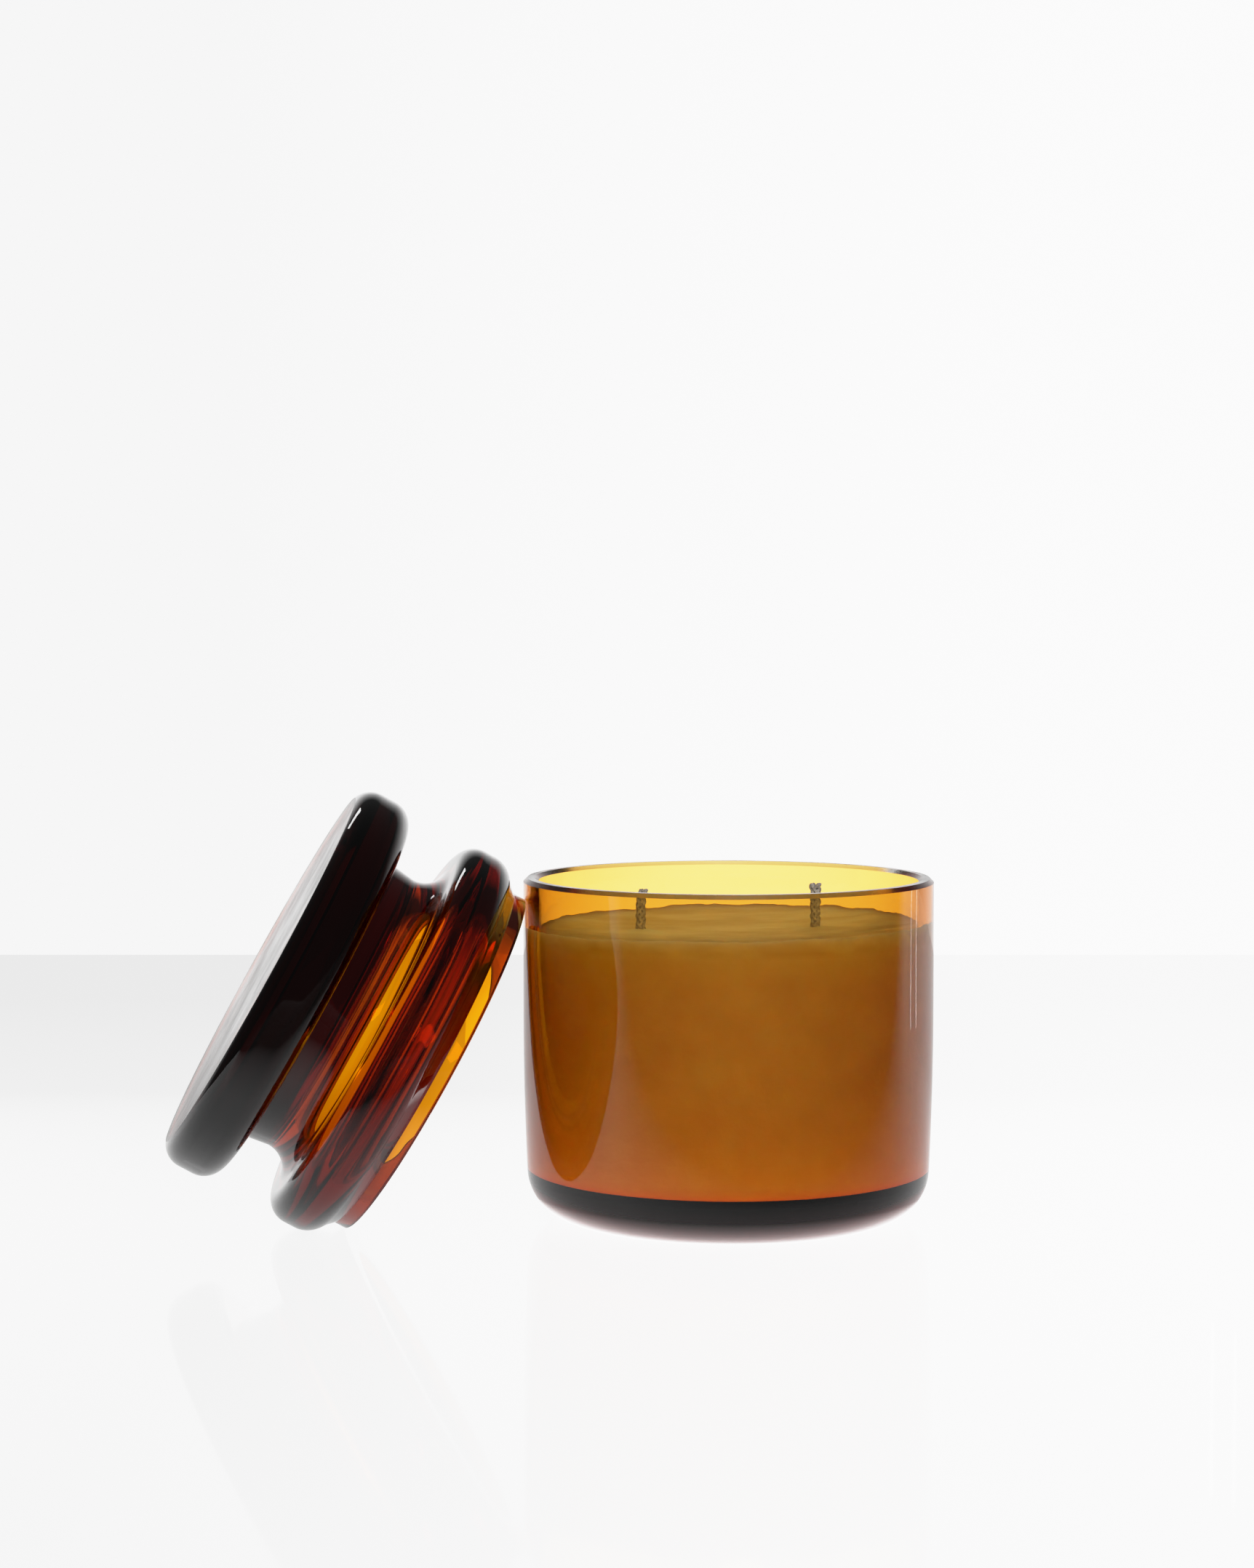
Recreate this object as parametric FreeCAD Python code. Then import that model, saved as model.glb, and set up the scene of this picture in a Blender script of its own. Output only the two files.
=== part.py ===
import FreeCAD, Part
import math
import os

# A two-wick candle in an amber glass jar, with its heavy spool-shaped glass lid leaning on the
# jar's left side. Lengths are in millimetres and angles in degrees. The origin is the middle of
# the jar's foot, +Z is up along the jar's axis, +X is to the right and +Y is away from the front.

# Jar
JAR_RADIUS = 50.0
JAR_HEIGHT = 83.0
WALL = 3.7
CURVE_TOP = 50.0        # the wall is straight above this height and curves gently inwards below it
CURVE_RADIUS = 835.0    # that gentle curve
FOOT_CORNER = 12.0      # outer radius between wall and foot
FLOOR = 11.5            # thickness of the glass base
FLOOR_CORNER = 3.5      # inner radius between wall and floor
RIM_CHAMFER = 1.0       # outer edge of the ground rim
RIM_INNER_CHAMFER = 0.9

# Wax
WAX_LOW = 69.4          # height of the lowest point of the dished top
WAX_DISH_RADIUS = 536.0
WAX_DISH_SHIFT = -8.0   # the low point is left of the axis, so the wax stands higher at the right
WAX_GAP = 0.1           # clearance to the wall
HOLE_GAP = 0.05         # clearance round each buried piece

# Wicks, their metal sustainers and the stickers that hold these to the floor
WICK_SPACING = 42.6
WICK_RADIUS = 1.25
WICK_TOPS = {"left": 80.1, "right": 81.5}
STICKER_RADIUS = 9.0
STICKER_THICKNESS = 1.0
SUSTAINER_RADIUS = 10.0
SUSTAINER_SHEET = 0.3
COLLAR_RADIUS = 1.8
COLLAR_HEIGHT = 6.0

# Lid: radii, and depths measured down from its flat top face along its own axis
LID_RADIUS = 50.3
FACE_RADIUS = 46.6
TOP_CORNER = 5.6        # round edge below the flat face, cut off by it in a crisp edge
DISC_CORNER = 5.8       # round edge under the top disc
DISC_DEPTH = 14.8
NECK_TOP_RADIUS = 36.9
NECK_RADIUS = 36.0
NECK_FILLET = 6.5
SHOULDER_DEPTH = 28.2
SHOULDER_CORNER = 5.4
FLANGE_CORNER = 6.5
SEAT_RADIUS = 47.0      # where the flange's lower round meets the cone that seats on the rim
SEAT_DEPTH = 42.0
PLUG_RADIUS = 44.8
PLUG_END = 47.5
PLUG_EDGE = 0.4
MOUTH_RADIUS = 37.0     # hollow underside: a wide mouth, a ledge and a narrower bell
LEDGE_RADIUS = 36.7
LEDGE_DEPTH = 33.5
BELL_RADIUS = 28.0
BELL_DEPTH = 19.5
HOLLOW_FILLET = 4.0

# How the lid leans: the tilt of its face's normal above the horizontal, the turn of that normal
# towards the front, how far the lid stands in front of the jar's axis, and the gap left to the jar
LEAN = 29.3
TURN = 6.3
LID_FORWARD = 17.0
LEAN_GAP = 0.3


class Outline:
    """A closed outline of lines and arcs in the XZ half-plane, which is turned about Z."""

    def __init__(self, r, z):
        self.first = FreeCAD.Vector(r, 0, z)
        self.last = self.first
        self.edges = []

    def line(self, r, z):
        end = FreeCAD.Vector(r, 0, z)
        self.edges.append(Part.LineSegment(self.last, end).toShape())
        self.last = end

    def arc(self, centre_r, centre_z, r, z):
        """Goes the short way round the centre to the point given."""
        centre = FreeCAD.Vector(centre_r, 0, centre_z)
        end = FreeCAD.Vector(r, 0, z)
        chord_middle = (self.last + end) * 0.5
        radius = (end - centre).Length
        middle = centre + (chord_middle - centre).normalize() * radius
        self.edges.append(Part.Arc(self.last, middle, end).toShape())
        self.last = end

    def turned(self):
        self.line(self.first.x, self.first.z)
        face = Part.Face(Part.Wire(self.edges))
        return face.revolve(FreeCAD.Vector(0, 0, 0), FreeCAD.Vector(0, 0, 1), 360)


def wall_corner(curve_radius, corner_radius, floor):
    """Centre of a corner round tangent to the floor and the wall's curve, and where it meets the wall."""
    curve_centre_r = JAR_RADIUS - CURVE_RADIUS
    rise = CURVE_TOP - (floor + corner_radius)
    reach = curve_radius - corner_radius
    run = math.sqrt(reach ** 2 - rise ** 2)
    centre_r = curve_centre_r + run
    meet_r = curve_centre_r + run * curve_radius / reach
    meet_z = CURVE_TOP - rise * curve_radius / reach
    return centre_r, meet_r, meet_z


def cup_side(outline, inset, corner_radius, floor):
    """Draws the corner and the gently curved wall up to CURVE_TOP, at an inset from the jar's outside."""
    curve_radius = CURVE_RADIUS - inset
    centre_r, meet_r, meet_z = wall_corner(curve_radius, corner_radius, floor)
    outline.line(centre_r, floor)
    outline.arc(centre_r, floor + corner_radius, meet_r, meet_z)
    outline.arc(JAR_RADIUS - CURVE_RADIUS, CURVE_TOP, JAR_RADIUS - inset, CURVE_TOP)


def glass_jar():
    outside = Outline(0, 0)
    cup_side(outside, 0, FOOT_CORNER, 0)
    outside.line(JAR_RADIUS, JAR_HEIGHT - RIM_CHAMFER)
    outside.line(JAR_RADIUS - RIM_CHAMFER, JAR_HEIGHT)
    outside.line(0, JAR_HEIGHT)
    inner_radius = JAR_RADIUS - WALL
    inside = Outline(0, FLOOR)
    cup_side(inside, WALL, FLOOR_CORNER, FLOOR)
    inside.line(inner_radius, JAR_HEIGHT - RIM_INNER_CHAMFER)
    inside.line(inner_radius + RIM_INNER_CHAMFER, JAR_HEIGHT)
    inside.line(0, JAR_HEIGHT)
    return outside.turned().cut(inside.turned())


def wick_positions():
    return {"left": -WICK_SPACING / 2, "right": WICK_SPACING / 2}


def cylinder(radius, bottom, top, x):
    return Part.makeCylinder(radius, top - bottom, FreeCAD.Vector(x, 0, bottom))


def sticker(x, gap=0.0):
    return cylinder(STICKER_RADIUS + gap, FLOOR, FLOOR + STICKER_THICKNESS, x)


def sustainer_body(x, gap=0.0):
    """The pressed disc and its collar, before the wick's hole is made."""
    bottom = FLOOR + STICKER_THICKNESS
    sheet_top = bottom + SUSTAINER_SHEET
    disc = cylinder(SUSTAINER_RADIUS + gap, bottom, sheet_top, x)
    collar = cylinder(COLLAR_RADIUS + gap, bottom, sheet_top + COLLAR_HEIGHT, x)
    return disc.fuse(collar).removeSplitter()


def wick_body(x, top, gap=0.0):
    return cylinder(WICK_RADIUS + gap, FLOOR + STICKER_THICKNESS, top, x)


def sustainer(x):
    return sustainer_body(x).cut(wick_body(x, JAR_HEIGHT, HOLE_GAP))


def wax_fill():
    outline = Outline(0, FLOOR)
    cup_side(outline, WALL + WAX_GAP, FLOOR_CORNER, FLOOR)
    outline.line(JAR_RADIUS - WALL - WAX_GAP, JAR_HEIGHT)
    outline.line(0, JAR_HEIGHT)
    wax = outline.turned()
    dish_centre = FreeCAD.Vector(WAX_DISH_SHIFT, 0, WAX_LOW + WAX_DISH_RADIUS)
    wax = wax.cut(Part.makeSphere(WAX_DISH_RADIUS, dish_centre))
    for x in wick_positions().values():
        wax = wax.cut(sticker(x, HOLE_GAP))
        wax = wax.cut(sustainer_body(x, HOLE_GAP))
        wax = wax.cut(wick_body(x, JAR_HEIGHT, HOLE_GAP))
    return wax


def flange_round_depth():
    """Depth of the centre of the flange's lower round, which ends on the seat cone."""
    across = SEAT_RADIUS - (LID_RADIUS - FLANGE_CORNER)
    return SEAT_DEPTH - math.sqrt(FLANGE_CORNER ** 2 - across ** 2)


def lid_outside():
    """The lid's outside, with its face at z = 0 and its plug pointing down."""
    outline = Outline(0, 0)
    outline.line(FACE_RADIUS, 0)
    top_centre_r = LID_RADIUS - TOP_CORNER
    top_centre_z = -math.sqrt(TOP_CORNER ** 2 - (FACE_RADIUS - top_centre_r) ** 2)
    outline.arc(top_centre_r, top_centre_z, LID_RADIUS, top_centre_z)
    outline.line(LID_RADIUS, -(DISC_DEPTH - DISC_CORNER))
    outline.arc(LID_RADIUS - DISC_CORNER, -(DISC_DEPTH - DISC_CORNER), LID_RADIUS - DISC_CORNER, -DISC_DEPTH)
    outline.line(NECK_TOP_RADIUS, -DISC_DEPTH)
    outline.line(NECK_RADIUS, -(SHOULDER_DEPTH - NECK_FILLET))
    fillet_centre_r = NECK_RADIUS + NECK_FILLET
    outline.arc(fillet_centre_r, -(SHOULDER_DEPTH - NECK_FILLET), fillet_centre_r, -SHOULDER_DEPTH)
    outline.line(LID_RADIUS - SHOULDER_CORNER, -SHOULDER_DEPTH)
    shoulder_bottom = -(SHOULDER_DEPTH + SHOULDER_CORNER)
    outline.arc(LID_RADIUS - SHOULDER_CORNER, shoulder_bottom, LID_RADIUS, shoulder_bottom)
    outline.line(LID_RADIUS, -flange_round_depth())
    outline.arc(LID_RADIUS - FLANGE_CORNER, -flange_round_depth(), SEAT_RADIUS, -SEAT_DEPTH)
    outline.line(PLUG_RADIUS, -(SEAT_DEPTH + SEAT_RADIUS - PLUG_RADIUS))
    outline.line(PLUG_RADIUS, -(PLUG_END - PLUG_EDGE))
    outline.arc(PLUG_RADIUS - PLUG_EDGE, -(PLUG_END - PLUG_EDGE), PLUG_RADIUS - PLUG_EDGE, -PLUG_END)
    outline.line(0, -PLUG_END)
    return outline.turned()


def lid_hollow():
    """The hollow in the underside: mouth, ledge and bell."""
    outline = Outline(0, -PLUG_END)
    outline.line(MOUTH_RADIUS + PLUG_EDGE, -PLUG_END)
    mouth_z = -(PLUG_END - PLUG_EDGE)
    outline.arc(MOUTH_RADIUS + PLUG_EDGE, mouth_z, MOUTH_RADIUS, mouth_z)
    ledge_z = -(LEDGE_DEPTH + HOLLOW_FILLET)
    outline.line(LEDGE_RADIUS, ledge_z)
    outline.arc(LEDGE_RADIUS - HOLLOW_FILLET, ledge_z, LEDGE_RADIUS - HOLLOW_FILLET, -LEDGE_DEPTH)
    bell_z = -(BELL_DEPTH + HOLLOW_FILLET)
    outline.line(BELL_RADIUS, bell_z)
    outline.arc(BELL_RADIUS - HOLLOW_FILLET, bell_z, BELL_RADIUS - HOLLOW_FILLET, -BELL_DEPTH)
    outline.line(0, -BELL_DEPTH)
    return outline.turned()


def lid_axis():
    """Unit vector out of the lid's face, as the lid leans."""
    lean = math.radians(LEAN)
    turn = math.radians(TURN)
    flat = math.cos(lean)
    return FreeCAD.Vector(-flat * math.cos(turn), -flat * math.sin(turn), math.sin(lean))


def lid_rest_height():
    """Height of the face's centre when the flange's lower round touches the surface below."""
    lean = math.radians(LEAN)
    hub = flange_round_depth() * math.sin(lean)
    return hub + (LID_RADIUS - FLANGE_CORNER) * math.cos(lean) + FLANGE_CORNER


def nearest_plug_edge(face_centre):
    """Least distance from the jar's axis to the middle line of the plug's rounded end edge."""
    axis = lid_axis()
    edge_centre = face_centre - axis * (PLUG_END - PLUG_EDGE)
    sideways = axis.cross(FreeCAD.Vector(0, 0, 1)).normalize()
    upwards = sideways.cross(axis)
    radius = PLUG_RADIUS - PLUG_EDGE
    steps = 1440
    distances = []
    for step in range(steps):
        angle = 2 * math.pi * step / steps
        place = edge_centre + (sideways * math.cos(angle) + upwards * math.sin(angle)) * radius
        distances.append(math.hypot(place.x, place.y))
    return min(distances)


def lid_face_centre():
    """Slides the lid along X until its plug stands LEAN_GAP from the jar's wall."""
    height = lid_rest_height()
    wanted = JAR_RADIUS + LEAN_GAP + PLUG_EDGE
    far = -4 * JAR_RADIUS
    near = -2 * JAR_RADIUS
    for _ in range(50):
        middle = (far + near) / 2
        if nearest_plug_edge(FreeCAD.Vector(middle, -LID_FORWARD, height)) > wanted:
            far = middle
        else:
            near = middle
    return FreeCAD.Vector(far, -LID_FORWARD, height)


def glass_lid():
    lid = lid_outside().cut(lid_hollow())
    upright_to_leaning = FreeCAD.Rotation(FreeCAD.Vector(0, 0, 1), lid_axis())
    lid.Placement = FreeCAD.Placement(lid_face_centre(), upright_to_leaning)
    return lid


def all_parts():
    parts = {"glass_jar": glass_jar(), "wax_fill": wax_fill(), "glass_lid": glass_lid()}
    for side, x in wick_positions().items():
        parts["wick_" + side] = wick_body(x, WICK_TOPS[side])
        parts["wick_sustainer_" + side] = sustainer(x)
        parts["wick_sticker_" + side] = sticker(x)
    return parts


os.makedirs("parts", exist_ok=True)
for name, shape in all_parts().items():
    assert shape.isValid() and len(shape.Solids) == 1, name
    shape.exportStep("parts/" + name + ".step")
    box = shape.BoundBox
    print(name, "volume %.1f mm3," % shape.Volume, "x %.2f to %.2f," % (box.XMin, box.XMax),
          "y %.2f to %.2f," % (box.YMin, box.YMax), "z %.2f to %.2f" % (box.ZMin, box.ZMax))
centre = lid_face_centre()
print("lid face centre", round(centre.x, 2), round(centre.y, 2), round(centre.z, 2))
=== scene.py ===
import bmesh
import bpy
import math
from mathutils import Matrix, Vector, noise


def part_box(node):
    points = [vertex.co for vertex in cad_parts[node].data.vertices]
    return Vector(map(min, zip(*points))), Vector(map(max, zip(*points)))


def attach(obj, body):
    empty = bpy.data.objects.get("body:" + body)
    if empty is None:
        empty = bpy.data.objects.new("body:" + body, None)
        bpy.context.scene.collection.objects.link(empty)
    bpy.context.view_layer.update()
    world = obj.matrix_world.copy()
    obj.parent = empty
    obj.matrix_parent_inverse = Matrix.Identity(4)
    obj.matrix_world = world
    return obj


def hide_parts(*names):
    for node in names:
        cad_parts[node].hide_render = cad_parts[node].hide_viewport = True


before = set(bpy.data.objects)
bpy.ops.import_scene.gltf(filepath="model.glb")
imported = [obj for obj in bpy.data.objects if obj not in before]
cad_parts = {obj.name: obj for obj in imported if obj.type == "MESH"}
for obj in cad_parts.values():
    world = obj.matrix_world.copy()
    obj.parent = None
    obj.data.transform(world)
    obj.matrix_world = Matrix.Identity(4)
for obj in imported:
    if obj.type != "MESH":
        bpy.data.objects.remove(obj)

# The candle jar and its lid at the frame's sizes, dressed as glass, wax and cotton.
# Sizes of the pieces are in millimetres. A turned piece's outline is (radius, height), from its bottom
# for the jar and the wax, and from its face for the lid. Materials and surroundings are in metres.
MM = 0.001
RIGHT, BACK, UP = (1, 0, 0), (0, 1, 0), (0, 0, 1)
TURN_STEPS = 256
SHARP_EDGE = math.radians(22)
SEED = Vector((3.1, 7.7, 1.9))

# Jar
JAR_RADIUS = 50.0
JAR_HEIGHT = 83.0
WALL = 3.7
CURVE_TOP = 50.0
CURVE_RADIUS = 835.0
FOOT_CORNER = 12.0
FLOOR = 11.5
FLOOR_CORNER = 3.5
RIM_CHAMFER = 1.0
RIM_INNER_CHAMFER = 0.9

# Wax: how far it bites into the glass so that it looks wetted, its dished top, and how much its rings
# crowd together towards the glass
WAX_BITE = 0.02
WAX_LOW = 69.4
WAX_DISH_RADIUS = 536.0
WAX_DISH_SHIFT = -8.0
WAX_RINGS = 120
WAX_RING_CROWDING = 1.6

# The wax's top: heights of its slow swell, finer ripple, mounds at the wicks and rise at the glass, with
# how many waves to the millimetre and how far the mounds and the rise reach
SWELL, SWELL_WAVES = 0.35, 0.09
RIPPLE, RIPPLE_WAVES, RIPPLE_STRETCH = 0.12, 0.4, 0.25
MOUND, MOUND_SPREAD = 0.7, 14.0
RISE, RISE_CHANGE, RISE_REACH = 0.5, 0.3, 0.8
RISE_WAVES = (0.12, 0.5)

# Wicks: strands wound each way, and the bend or flare of their free ends
WICK_STRANDS = 4
WICK_PITCH = 7.0
STRAND_RADIUS = 0.42
BRAID_RADIUS = 0.80
WEAVE = 0.16
STRAND_SIDES = 7
BRAID_STEP = 0.35
WICK_FREE_END = 4.0
LEFT_BEND, LEFT_THINNING = 0.045, 0.03
RIGHT_LEAN, RIGHT_FLARE, RIGHT_FLARE_POWER = 0.025, 0.035, 1.6

# Lid, measured down from its face, its lean, and the turns about its axis that measure its box
LID_RADIUS = 50.3
FACE_RADIUS = 46.6
TOP_CORNER = 5.6
DISC_CORNER = 5.8
DISC_DEPTH = 14.8
NECK_TOP_RADIUS = 36.9
NECK_RADIUS = 36.0
NECK_FILLET = 6.5
SHOULDER_DEPTH = 28.2
SHOULDER_CORNER = 5.4
FLANGE_CORNER = 6.5
SEAT_RADIUS = 47.0
SEAT_DEPTH = 42.0
PLUG_RADIUS = 44.8
PLUG_END = 47.5
PLUG_EDGE = 0.4
MOUTH_RADIUS = 37.0
LEDGE_RADIUS = 36.7
LEDGE_DEPTH = 33.5
BELL_RADIUS = 28.0
BELL_DEPTH = 19.5
HOLLOW_FILLET = 4.0
LEAN = math.radians(29.3)
LID_TURN = math.radians(6.3)
LID_BOX_STEPS = 158
LID_BOX_STEP = 0.04

# Least and greatest roughness where the glass is ground: on the jar's rim and the lid's face
GROUND_GLOSS = (0.16, 0.28)

# Waves on the glass, and streaks in it: how many to the metre, how drawn out, and their colours
WAVINESS = 0.0001
STREAKS = 110.0
STREAK_STRETCH = (9, 9, 1)
JAR_STREAK = (0.97, 0.95, 0.90)
LID_STREAK = (0.42, 0.37, 0.33)

# Absorption of the glass per millimetre, for red, green and blue
JAR_ABSORPTION = (0.068, 0.180, 0.52)
LID_ABSORPTION = (0.060, 0.188, 0.90)

# Heights between which the tones of the wax's side give way to those of its top
WAX_TOP_FADE = (0.0675, 0.0690)

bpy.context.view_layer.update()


def arc(centre_r, centre_z, radius, start, end, steps=12):
    """Points of a round, from one angle to another in degrees, anticlockwise when end is larger."""
    points = []
    for step in range(steps + 1):
        angle = math.radians(start + (end - start) * step / steps)
        points.append((centre_r + radius * math.cos(angle), centre_z + radius * math.sin(angle)))
    return points


def turned(name, outline, material, place=Matrix.Identity(4), shape=None, ground=None):
    """Revolves a closed outline about Z. shape moves each point a little, and the faces at or above the
    height of ground are marked as ground, for the material."""
    mesh = bpy.data.meshes.new(name)
    piece = bpy.data.objects.new(name, mesh)
    bpy.context.scene.collection.objects.link(piece)
    work = bmesh.new()
    rings = []
    for radius, height in outline:
        count = 1 if radius < 1e-6 else TURN_STEPS
        ring = []
        for step in range(count):
            angle = 2 * math.pi * step / TURN_STEPS
            point = Vector((radius * math.cos(angle), radius * math.sin(angle), height))
            if shape:
                point = shape(point)
            ring.append(work.verts.new(place @ (point * MM)))
        rings.append(ring)
    mark = work.faces.layers.float.new("ground")
    for index in range(len(rings) - 1):
        is_ground = ground is not None and min(outline[index][1], outline[index + 1][1]) >= ground
        for face in join_rings(work, rings[index], rings[index + 1]):
            face[mark] = float(is_ground)
    finish_mesh(work, mesh, material)
    return piece


def join_rings(work, lower, upper):
    """Faces between two rings, either of which may be a single point."""
    faces = []
    for step in range(max(len(lower), len(upper))):
        after = step + 1
        corners = [lower[step % len(lower)], lower[after % len(lower)],
                   upper[after % len(upper)], upper[step % len(upper)]]
        corners = list(dict.fromkeys(corners))
        if len(corners) > 2:
            faces.append(work.faces.new(corners))
    return faces


def finish_mesh(work, mesh, material):
    """Outward normals, smooth faces and crisp edges."""
    bmesh.ops.recalc_face_normals(work, faces=work.faces)
    for face in work.faces:
        face.smooth = True
    for edge in work.edges:
        if len(edge.link_faces) == 2 and edge.calc_face_angle() > SHARP_EDGE:
            edge.smooth = False
    work.to_mesh(mesh)
    work.free()
    mesh.materials.append(material)


def cup_side(inset, corner_radius, floor, top, wall_steps=24):
    """Corner and gently curved wall of the jar at an inset from its outside, from the floor up."""
    curve_radius = CURVE_RADIUS - inset
    curve_centre = JAR_RADIUS - CURVE_RADIUS
    rise = CURVE_TOP - (floor + corner_radius)
    reach = curve_radius - corner_radius
    run = math.sqrt(reach ** 2 - rise ** 2)
    slope = math.degrees(math.asin(rise / reach))
    points = arc(curve_centre + run, floor + corner_radius, corner_radius, -90, -slope, 20)
    points += arc(curve_centre, CURVE_TOP, curve_radius, -slope, 0, wall_steps)[1:]
    points.append((JAR_RADIUS - inset, top))
    return points


def jar_outline():
    """From the middle of the foot, up the outside, over the rim and down to the floor's middle."""
    inner = JAR_RADIUS - WALL
    outline = [(0, 0)] + cup_side(0, FOOT_CORNER, 0, JAR_HEIGHT - RIM_CHAMFER)
    outline += [(JAR_RADIUS - RIM_CHAMFER, JAR_HEIGHT), (inner + RIM_INNER_CHAMFER, JAR_HEIGHT)]
    inside = cup_side(WALL, FLOOR_CORNER, FLOOR, JAR_HEIGHT - RIM_INNER_CHAMFER)
    return outline + inside[::-1] + [(0, FLOOR)]


def lid_outline():
    """From the middle of the face, down the outside to the plug's end and back up the hollow."""
    top_centre = LID_RADIUS - TOP_CORNER
    cut_angle = math.degrees(math.acos((FACE_RADIUS - top_centre) / TOP_CORNER))
    top_depth = -TOP_CORNER * math.sin(math.radians(cut_angle))
    outline = [(0, 0)] + arc(top_centre, top_depth, TOP_CORNER, cut_angle, 0)
    outline += arc(LID_RADIUS - DISC_CORNER, -(DISC_DEPTH - DISC_CORNER), DISC_CORNER, 0, -90)
    outline.append((NECK_TOP_RADIUS, -DISC_DEPTH))
    outline += arc(NECK_RADIUS + NECK_FILLET, -(SHOULDER_DEPTH - NECK_FILLET), NECK_FILLET, 180, 270)
    outline += arc(LID_RADIUS - SHOULDER_CORNER, -(SHOULDER_DEPTH + SHOULDER_CORNER), SHOULDER_CORNER, 90, 0)
    flange_centre = LID_RADIUS - FLANGE_CORNER
    seat_angle = math.degrees(math.acos((SEAT_RADIUS - flange_centre) / FLANGE_CORNER))
    flange_depth = -(SEAT_DEPTH - FLANGE_CORNER * math.sin(math.radians(seat_angle)))
    outline += arc(flange_centre, flange_depth, FLANGE_CORNER, 0, -seat_angle)
    outline.append((PLUG_RADIUS, -(SEAT_DEPTH + SEAT_RADIUS - PLUG_RADIUS)))
    edge_depth = -(PLUG_END - PLUG_EDGE)
    outline += arc(PLUG_RADIUS - PLUG_EDGE, edge_depth, PLUG_EDGE, 0, -90, 4)
    outline += arc(MOUTH_RADIUS + PLUG_EDGE, edge_depth, PLUG_EDGE, 270, 180, 4)
    outline += arc(LEDGE_RADIUS - HOLLOW_FILLET, -(LEDGE_DEPTH + HOLLOW_FILLET), HOLLOW_FILLET, 0, 90)
    outline += arc(BELL_RADIUS - HOLLOW_FILLET, -(BELL_DEPTH + HOLLOW_FILLET), HOLLOW_FILLET, 0, 90)
    return outline + [(0, -BELL_DEPTH)]


def lid_place():
    """Where the lid's face stands. The leaning outline's own box is laid on the frame's box of the lid."""
    flat = math.cos(LEAN)
    axis = Vector((-flat * math.cos(LID_TURN), -flat * math.sin(LID_TURN), math.sin(LEAN)))
    turn = axis.to_track_quat("Z", "Y").to_matrix().to_4x4()
    low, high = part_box("glass_lid")
    angles = [step * LID_BOX_STEP for step in range(LID_BOX_STEPS)]
    corners = [turn @ Vector((radius * math.cos(angle), radius * math.sin(angle), height)) * MM
               for radius, height in lid_outline() for angle in angles]
    place = []
    for axis in range(3):
        reach = [corner[axis] for corner in corners]
        place.append((low[axis] + high[axis]) / 2 - (min(reach) + max(reach)) / 2)
    return Matrix.Translation(place) @ turn


def shader(name):
    """A new material's tree, its main shader and its output."""
    material = bpy.data.materials.new(name)
    material.use_nodes = True
    tree = material.node_tree
    return material, tree, tree.nodes["Principled BSDF"], tree.nodes["Material Output"]


def object_noise(tree, scale, detail=3.0, stretch=(1, 1, 1), turn=(0, 0, 0)):
    """Noise fixed to the piece, about scale bumps to the metre, drawn out along axes that are turned."""
    place = tree.nodes.new("ShaderNodeTexCoord")
    mapping = tree.nodes.new("ShaderNodeMapping")
    mapping.vector_type = "TEXTURE"
    mapping.inputs["Scale"].default_value = stretch
    mapping.inputs["Rotation"].default_value = turn
    texture = tree.nodes.new("ShaderNodeTexNoise")
    texture.inputs["Scale"].default_value = scale
    texture.inputs["Detail"].default_value = detail
    tree.links.new(place.outputs["Object"], mapping.inputs["Vector"])
    tree.links.new(mapping.outputs["Vector"], texture.inputs["Vector"])
    return texture.outputs["Fac"]


def ramp(tree, value, stops):
    """Colours along a value from 0 to 1."""
    node = tree.nodes.new("ShaderNodeValToRGB")
    stretch = node.color_ramp.elements
    while len(stretch) < len(stops):
        stretch.new(0.5)
    for element, (position, colour) in zip(stretch, stops):
        element.position = position
        element.color = (*colour, 1)
    tree.links.new(value, node.inputs["Fac"])
    return node.outputs["Color"]


def bump(tree, height, distance, strength=1.0):
    """Bumps as high as the distance, in metres."""
    node = tree.nodes.new("ShaderNodeBump")
    node.inputs["Distance"].default_value = distance
    node.inputs["Strength"].default_value = strength
    tree.links.new(height, node.inputs["Height"])
    return node.outputs["Normal"]


def amber_glass(name, absorption, streak, turn=(0, 0, 0)):
    """Pressed glass: clear, slightly wavy, with its colour held in its depth, and streaks round the piece."""
    material, tree, main, output = shader(name)
    main.inputs["Transmission Weight"].default_value = 1.0
    main.inputs["IOR"].default_value = 1.52
    streaks = object_noise(tree, STREAKS, 3.0, STREAK_STRETCH, turn)
    tint = ramp(tree, streaks, [(0.35, streak), (0.6, (1.0, 1.0, 1.0))])
    tree.links.new(tint, main.inputs["Base Color"])
    mark = tree.nodes.new("ShaderNodeAttribute")
    mark.attribute_name = "ground"
    least, greatest = GROUND_GLOSS
    satin = ramp(tree, object_noise(tree, 60.0, 4.0), [(0.3, (least,) * 3), (0.7, (greatest,) * 3)])
    gloss = combined(tree, "MULTIPLY", satin, mark.outputs["Fac"])
    tree.links.new(gloss, main.inputs["Roughness"])
    tree.links.new(bump(tree, object_noise(tree, 45.0, 2.0), WAVINESS), main.inputs["Normal"])
    depth = tree.nodes.new("ShaderNodeVolumeAbsorption")
    densest = max(absorption) / MM
    depth.inputs["Density"].default_value = densest
    depth.inputs["Color"].default_value = (*[1 - value / MM / densest for value in absorption], 1)
    tree.links.new(depth.outputs["Volume"], output.inputs["Volume"])
    return material


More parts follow.
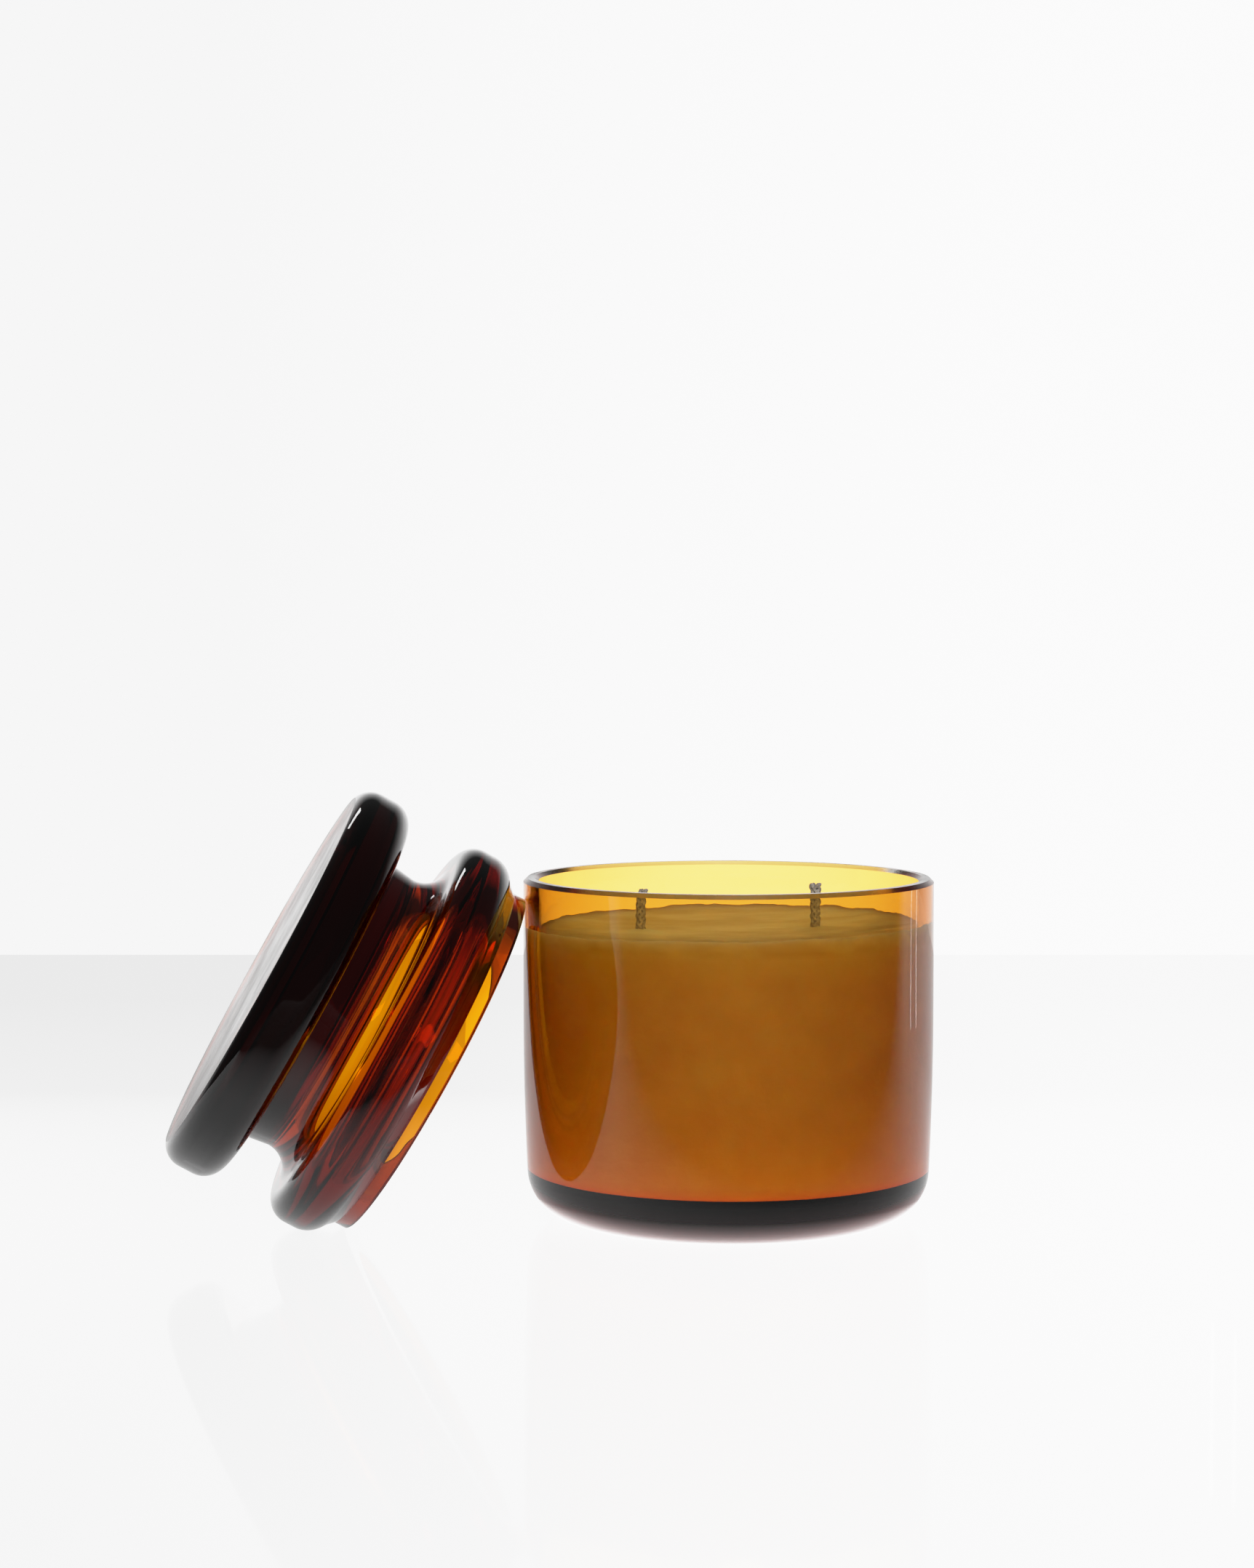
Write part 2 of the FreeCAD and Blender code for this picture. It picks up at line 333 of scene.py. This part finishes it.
def wax_material():
    """Creamy wax that light soaks into, mottled on its side and dragged into streaks on top."""
    material, tree, main, _ = shader("soy_wax")
    mottle = object_noise(tree, 90.0, 6.0)
    side = ramp(tree, mottle, [(0.3, (0.86, 0.71, 0.44)), (0.7, (0.93, 0.80, 0.55))])
    drag = object_noise(tree, 110.0, 7.0, (2.5, 1, 1))
    top = ramp(tree, drag, [(0.36, (0.76, 0.62, 0.35)), (0.6, (0.93, 0.82, 0.53))])
    tone = tree.nodes.new("ShaderNodeMix")
    tone.data_type = "RGBA"
    tree.links.new(fade_along(tree, "Object", UP, WAX_TOP_FADE, (0, 1)), tone.inputs["Factor"])
    tree.links.new(side, tone.inputs["A"])
    tree.links.new(top, tone.inputs["B"])
    tree.links.new(tone.outputs["Result"], main.inputs["Base Color"])
    gloss = ramp(tree, object_noise(tree, 160.0, 4.0), [(0.3, (0.35,) * 3), (0.7, (0.6,) * 3)])
    tree.links.new(gloss, main.inputs["Roughness"])
    tree.links.new(bump(tree, object_noise(tree, 400.0, 6.0), 0.0002, 0.6), main.inputs["Normal"])
    main.inputs["Subsurface Weight"].default_value = 1.0
    main.inputs["Subsurface Radius"].default_value = (1.0, 0.8, 0.5)
    main.inputs["Subsurface Scale"].default_value = 0.025
    return material


def cotton_material():
    """Waxed cotton, with fibres as uneven tone and fine bumps."""
    material, tree, main, _ = shader("waxed_cotton")
    tone = ramp(tree, object_noise(tree, 900.0, 5.0), [(0.3, (0.16, 0.14, 0.12)), (0.7, (0.36, 0.33, 0.29))])
    tree.links.new(tone, main.inputs["Base Color"])
    main.inputs["Roughness"].default_value = 0.75
    tree.links.new(bump(tree, object_noise(tree, 4000.0), 0.0001), main.inputs["Normal"])
    return material


def tin_material():
    """Rolled tinplate, with cloudy tone and drawn-out scratches."""
    material, tree, main, _ = shader("pressed_tinplate")
    main.inputs["Metallic"].default_value = 1.0
    tone = ramp(tree, object_noise(tree, 300.0, 4.0), [(0.3, (0.55, 0.56, 0.57)), (0.7, (0.74, 0.74, 0.73))])
    tree.links.new(tone, main.inputs["Base Color"])
    gloss = ramp(tree, object_noise(tree, 1500.0, 4.0, (1, 8, 1)), [(0.3, (0.22,) * 3), (0.7, (0.4,) * 3)])
    tree.links.new(gloss, main.inputs["Roughness"])
    return material


def sticker_material():
    """Pale foam with fine cells."""
    material, tree, main, _ = shader("sticker_foam")
    cells = object_noise(tree, 2500.0, 6.0)
    tone = ramp(tree, cells, [(0.35, (0.74, 0.74, 0.71)), (0.65, (0.88, 0.88, 0.86))])
    tree.links.new(tone, main.inputs["Base Color"])
    main.inputs["Roughness"].default_value = 0.8
    tree.links.new(bump(tree, object_noise(tree, 3000.0), 0.0001), main.inputs["Normal"])
    return material


def wick_places():
    """Middle of each wick and its top, from the frame."""
    places = {}
    for side in ("left", "right"):
        low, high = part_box("wick_" + side)
        places[side] = Vector(((low[0] + high[0]) / 2, (low[1] + high[1]) / 2, high[2])) / MM
    return places


def wax_top(x, y, wicks):
    """Height of the wax's top: a dish with slow ripples, a mound at each wick and a rise at the glass."""
    height = WAX_LOW + ((x - WAX_DISH_SHIFT) ** 2 + y ** 2) / (2 * WAX_DISH_RADIUS)
    height += SWELL * noise.noise(Vector((x, y, 0)) * SWELL_WAVES + SEED)
    height += RIPPLE * noise.noise(Vector((x * RIPPLE_STRETCH, y, 0)) * RIPPLE_WAVES + SEED)
    for place in wicks:
        height += MOUND * math.exp(-((x - place.x) ** 2 + (y - place.y) ** 2) / MOUND_SPREAD)
    gap = JAR_RADIUS - WALL - math.hypot(x, y)
    rise = RISE + RISE_CHANGE * noise.noise(Vector((x, y, 9)) * RISE_WAVES[0] + SEED)
    rise += RISE_CHANGE * noise.noise(Vector((x, y, 5)) * RISE_WAVES[1])
    return height + rise * math.exp(-max(gap, 0) / RISE_REACH)


def wax():
    """The wax with its top made from rings that crowd together towards the glass."""
    wicks = list(wick_places().values())
    radius = JAR_RADIUS - WALL + WAX_BITE
    side = cup_side(WALL - WAX_BITE, FLOOR_CORNER, FLOOR - WAX_BITE, WAX_LOW)
    outline = [(0, FLOOR - WAX_BITE)] + side[:-1]
    top = [(radius * (1 - (1 - step / WAX_RINGS) ** WAX_RING_CROWDING), JAR_HEIGHT)
           for step in range(WAX_RINGS + 1)]
    outline += top[::-1]

    def shape(point):
        if point.z == JAR_HEIGHT:
            point.z = wax_top(point.x, point.y, wicks)
        return point
    return turned("wax_fill_visual", outline, wax_material(), shape=shape)


def wick_line(side, height, top):
    """Sideways drift and widening of the braid: the left one ends in a bent lip, the right one flares."""
    free = max(0.0, height - (top - WICK_FREE_END))
    if side == "left":
        return Vector((LEFT_BEND * free ** 2, 0.0)), 1 - LEFT_THINNING * free
    return Vector((-RIGHT_LEAN * free, 0.0)), 1 + RIGHT_FLARE * free ** RIGHT_FLARE_POWER


def strand_point(side, place, phase, hand, height):
    """Middle of a strand at a height. hand is 1 or -1, the way that it winds."""
    angle = phase + hand * 2 * math.pi * height / WICK_PITCH
    weave = WEAVE * math.cos(2 * angle * hand + phase)
    drift, wide = wick_line(side, height, place.z)
    radius = (BRAID_RADIUS + weave * hand) * wide
    return Vector((place.x + drift.x + radius * math.cos(angle), place.y + radius * math.sin(angle), height))


def wick(side, place, bottom, material):
    """A round braid of strands wound both ways."""
    mesh = bpy.data.meshes.new("wick_" + side + "_visual")
    piece = bpy.data.objects.new(mesh.name, mesh)
    bpy.context.scene.collection.objects.link(piece)
    work = bmesh.new()
    steps = int((place.z - STRAND_RADIUS - bottom) / BRAID_STEP)
    for hand in (1, -1):
        for strand in range(WICK_STRANDS):
            phase = 2 * math.pi * strand / WICK_STRANDS + (0 if hand > 0 else math.pi / WICK_STRANDS)
            path = [strand_point(side, place, phase, hand, bottom + STRAND_RADIUS + step * BRAID_STEP)
                    for step in range(steps + 1)]
            add_strand(work, path)
    finish_mesh(work, mesh, material)
    return piece


def add_strand(work, path):
    """A round tube along the path, closed at both ends."""
    rings = []
    for index, point in enumerate(path):
        along = (path[min(index + 1, len(path) - 1)] - path[max(index - 1, 0)]).normalized()
        across = along.cross(Vector((0, 1, 0))).normalized()
        other = along.cross(across)
        ring = []
        for side in range(STRAND_SIDES):
            angle = 2 * math.pi * side / STRAND_SIDES
            offset = (across * math.cos(angle) + other * math.sin(angle)) * STRAND_RADIUS
            ring.append(work.verts.new((point + offset) * MM))
        rings.append(ring)
    for lower, upper in zip(rings, rings[1:]):
        join_rings(work, lower, upper)
    work.faces.new(rings[0])
    work.faces.new(rings[-1])


def build():
    """Every piece on its body, with the stand-in CAD node that it replaces."""
    glass = amber_glass("jar_glass", JAR_ABSORPTION, JAR_STREAK)
    jar = turned("glass_jar_visual", jar_outline(), glass, ground=JAR_HEIGHT - RIM_CHAMFER)
    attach(jar, "jar")
    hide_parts("glass_jar")
    place = lid_place()
    glass = amber_glass("lid_glass", LID_ABSORPTION, LID_STREAK, place.to_euler())
    lid = turned("glass_lid_visual", lid_outline(), glass, place, ground=0)
    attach(lid, "lid")
    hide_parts("glass_lid")
    fill = wax()
    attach(fill, "jar")
    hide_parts("wax_fill")
    cotton = cotton_material()
    tin = tin_material()
    foam = sticker_material()
    for side, place in wick_places().items():
        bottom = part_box("wick_" + side)[0][2] / MM
        braid = wick(side, place, bottom, cotton)
        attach(braid, "jar")
        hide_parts("wick_" + side)
        for node, material in (("wick_sustainer_" + side, tin), ("wick_sticker_" + side, foam)):
            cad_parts[node].data.materials.clear()
            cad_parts[node].data.materials.append(material)


# Surroundings: a pale glossy table that ends behind the object, and a studio. Both light the object from
# behind and below and leave its front dim, while the camera sees them near white, with painted light
# making them a little brighter at the right and painted shade making the table's far end pale grey.
# A name with WHITE is what the camera sees, and one with GLOW, LIGHT or DIM is what lights the object.
# Fades are the limits along one direction.
TABLE_BACK = 0.576
TABLE_FRONT = -2.0
TABLE_HALF_WIDTH = 1.5
TABLE_GAP = 0.0002
# Painted shade: the table, as the camera sees it, goes greyer towards its far end
TABLE_WHITE_AND_PAINTED_SHADE = (0.90, 1.10)
TABLE_PAINTED_SHADE_FADE = (0.42, 0.0)
TABLE_GLOSS_FADE = (0.20, -0.15)
TABLE_IOR = 1.35
# Painted light: the table and the backdrop, as the camera sees them, brighter towards the right
RIGHT_PAINTED_LIGHT = 0.5
RIGHT_FADE = (-0.12, 0.12)
TABLE_GLOW = 1.3
TABLE_GLOW_WAY = (-0.4, 1, 0)
TABLE_GLOW_FADE = (-0.12, -0.03)
TABLE_DIM = 0.03
FOOT_GLOW = 4.5
FOOT_GLOW_FADE = (0.051, 0.040)
BACK_LIGHT = 2.1
BACKDROP_WHITE = 1.33
FRONT_LIGHT = 0.1
MIRROR_DIM = -0.42
BACK_LIGHT_FADE = (0.45, 0.98)
BACK_LIGHT_TOP_FADE = (0.45, 0.12)
FILL_PLACE = Vector((0.15, -1.15, 0.50))
FILL_AIM = Vector((0.0, 0.0, 0.05))
FILL_SIZE = (0.5, 0.25)
FILL_POWER = 15.5
TOP_PLACE = Vector((0.05, 0.1, 0.9))
TOP_AIM = Vector((0.0, 0.0, 0.07))
TOP_SIZE = (0.3, 0.3)
TOP_POWER = 1.3
GLINT_PLACE = Vector((-0.42, 0.75, 0.64))
GLINT_AIM = Vector((-0.10, 0.0, 0.08))
GLINT_SIZE = (0.2, 0.12)
GLINT_POWER = 0.4
STRIP_TURNS = (11.0, 17.0)
STRIP_REACH = 0.132
STRIP_HEIGHT = 0.058
STRIP_SIZE = (0.0012, 0.045)
STRIP_POWER = 0.0006
CAMERA_PLACE = (-0.0247, -0.7953, 0.1523)
CAMERA_DIP = math.radians(3.36)
SENSOR = 36.0
LENS = 75.14


def fade_along(tree, output, direction, limits, values):
    """A number that goes from one value to another between two limits along a direction."""
    place = tree.nodes.new("ShaderNodeTexCoord")
    reach = tree.nodes.new("ShaderNodeVectorMath")
    reach.operation = "DOT_PRODUCT"
    reach.inputs[1].default_value = direction
    tree.links.new(place.outputs[output], reach.inputs[0])
    return faded(tree, reach.outputs["Value"], limits, values)


def faded(tree, number, limits, values):
    """The number, taken from its limits to the values."""
    fade = tree.nodes.new("ShaderNodeMapRange")
    for name, value in zip(("From Min", "From Max", "To Min", "To Max"), (*limits, *values)):
        fade.inputs[name].default_value = value
    tree.links.new(number, fade.inputs["Value"])
    return fade.outputs["Result"]


def combined(tree, operation, first, second):
    """Two numbers added or multiplied. Either may be a plain number."""
    node = tree.nodes.new("ShaderNodeMath")
    node.operation = operation
    for socket, value in zip(node.inputs, (first, second)):
        if isinstance(value, float):
            socket.default_value = value
        else:
            tree.links.new(value, socket)
    return node.outputs["Value"]


def seen_as(tree, value, seen):
    """The value for light on the object, weaker where the glass mirrors it, and seen for the camera."""
    rays = tree.nodes.new("ShaderNodeLightPath")
    mirrored = combined(tree, "MULTIPLY", rays.outputs["Is Glossy Ray"], rays.outputs["Is Reflection Ray"])
    weaker = combined(tree, "ADD", combined(tree, "MULTIPLY", mirrored, MIRROR_DIM), 1.0)
    lit = combined(tree, "MULTIPLY", value, weaker)
    mix = tree.nodes.new("ShaderNodeMix")
    tree.links.new(rays.outputs["Is Camera Ray"], mix.inputs["Factor"])
    tree.links.new(lit, mix.inputs["A"])
    tree.links.new(seen, mix.inputs["B"])
    return mix.outputs["Result"]


def foot_glow(tree):
    """The light under the jar's foot, which only the jar's base and the wax above it catch."""
    place = tree.nodes.new("ShaderNodeTexCoord")
    reach = tree.nodes.new("ShaderNodeVectorMath")
    reach.operation = "LENGTH"
    tree.links.new(place.outputs["Object"], reach.inputs[0])
    return faded(tree, reach.outputs["Value"], FOOT_GLOW_FADE, (0.0, FOOT_GLOW))


def table():
    """The table's top, seen lighter and glossier from its far end to the front, its far end's grey being
    painted shade.
    """
    mesh = bpy.data.meshes.new("table")
    corners = [(side * TABLE_HALF_WIDTH, end, -TABLE_GAP)
               for side, end in ((-1, TABLE_FRONT), (1, TABLE_FRONT), (1, TABLE_BACK), (-1, TABLE_BACK))]
    mesh.from_pydata(corners, [], [(0, 1, 2, 3)])
    piece = bpy.data.objects.new("table", mesh)
    bpy.context.scene.collection.objects.link(piece)
    material, tree, main, _ = shader("lit_table")
    main.inputs["Base Color"].default_value = (0.1, 0.1, 0.1, 1)
    main.inputs["Roughness"].default_value = 0.05
    gloss = fade_along(tree, "Object", BACK, TABLE_GLOSS_FADE, (1.0, TABLE_IOR))
    tree.links.new(gloss, main.inputs["IOR"])
    main.inputs["Emission Color"].default_value = (1, 1, 1, 1)
    glow = fade_along(tree, "Object", TABLE_GLOW_WAY, TABLE_GLOW_FADE, (TABLE_DIM, TABLE_GLOW))
    glow = combined(tree, "ADD", glow, foot_glow(tree))
    # Painted shade: what the camera sees of the table greys towards its far end
    along = fade_along(tree, "Object", BACK, TABLE_PAINTED_SHADE_FADE, TABLE_WHITE_AND_PAINTED_SHADE)
    # Painted light: what the camera sees of the table brightens towards the right
    across = fade_along(tree, "Object", RIGHT, RIGHT_FADE, (0.0, RIGHT_PAINTED_LIGHT))
    seen = combined(tree, "ADD", along, across)
    tree.links.new(seen_as(tree, glow, seen), main.inputs["Emission Strength"])
    mesh.materials.append(material)


def studio():
    """The world: bright low behind the object."""
    world = bpy.data.worlds.new("studio")
    bpy.context.scene.world = world
    world.use_nodes = True
    tree = world.node_tree
    background = tree.nodes["Background"]
    background.inputs["Color"].default_value = (1, 1, 1, 1)
    behind = fade_along(tree, "Generated", BACK, BACK_LIGHT_FADE, (0, BACK_LIGHT))
    low = fade_along(tree, "Generated", UP, BACK_LIGHT_TOP_FADE, (0, 1))
    light = combined(tree, "ADD", combined(tree, "MULTIPLY", behind, low), FRONT_LIGHT)
    # Painted light: what the camera sees of the backdrop brightens towards the right
    seen = fade_along(tree, "Generated", RIGHT, RIGHT_FADE, (BACKDROP_WHITE, BACKDROP_WHITE + RIGHT_PAINTED_LIGHT))
    tree.links.new(seen_as(tree, light, seen), background.inputs["Strength"])


def softbox(name, place, aim, size, power, mirrored=False):
    """A soft light that the camera doesn't see. The glass either mirrors it or lets it through."""
    data = bpy.data.lights.new(name, "AREA")
    data.shape = "RECTANGLE"
    data.size, data.size_y = size
    data.energy = power
    piece = bpy.data.objects.new(name, data)
    piece.location = place
    piece.rotation_euler = (aim - place).to_track_quat("-Z", "Y").to_euler()
    piece.visible_camera = False
    piece.visible_glossy = mirrored
    piece.visible_transmission = not mirrored
    bpy.context.scene.collection.objects.link(piece)


def lights():
    """Front fill, light on the wax, a glint for the lid and two thin strips for the jar's right side."""
    softbox("fill", FILL_PLACE, FILL_AIM, FILL_SIZE, FILL_POWER)
    softbox("top", TOP_PLACE, TOP_AIM, TOP_SIZE, TOP_POWER)
    softbox("glint", GLINT_PLACE, GLINT_AIM, GLINT_SIZE, GLINT_POWER, mirrored=True)
    for turn in STRIP_TURNS:
        place = Matrix.Rotation(math.radians(turn), 3, "Z") @ Vector((STRIP_REACH, 0, STRIP_HEIGHT))
        softbox("strip", place, Vector((0, 0, STRIP_HEIGHT)), STRIP_SIZE, STRIP_POWER, mirrored=True)


# Tone: linear up to the knee, then a soft roll-off to just under white
TONE_KNEE = 0.6
TONE_WHITE = 0.975
TONE_REACH = 4.0
TONE_POINTS = 24


def tone():
    """The view's tone curve."""
    view = bpy.context.scene.view_settings
    view.view_transform = "Standard"
    view.use_curve_mapping = True
    mapping = view.curve_mapping
    mapping.white_level = (TONE_REACH,) * 3
    curve = mapping.curves[3]
    room = TONE_WHITE - TONE_KNEE
    for step in range(1, TONE_POINTS):
        value = TONE_KNEE + (TONE_REACH - TONE_KNEE) * (step / TONE_POINTS) ** 2
        curve.points.new(value / TONE_REACH, TONE_KNEE + room * (1 - math.exp(-(value - TONE_KNEE) / room)))
    curve.points[-1].location = (1.0, TONE_WHITE)
    curve.points.new(TONE_KNEE / TONE_REACH, TONE_KNEE)
    mapping.update()


def camera():
    """The camera in front of the object, looking a little down."""
    data = bpy.data.cameras.new("camera")
    data.sensor_width = SENSOR
    data.lens = LENS
    data.clip_start = 0.01
    eye = bpy.data.objects.new("camera", data)
    eye.location = CAMERA_PLACE
    eye.rotation_euler = (math.pi / 2 - CAMERA_DIP, 0, 0)
    bpy.context.scene.collection.objects.link(eye)
    bpy.context.scene.camera = eye


build()
table()
studio()
lights()
tone()
camera()
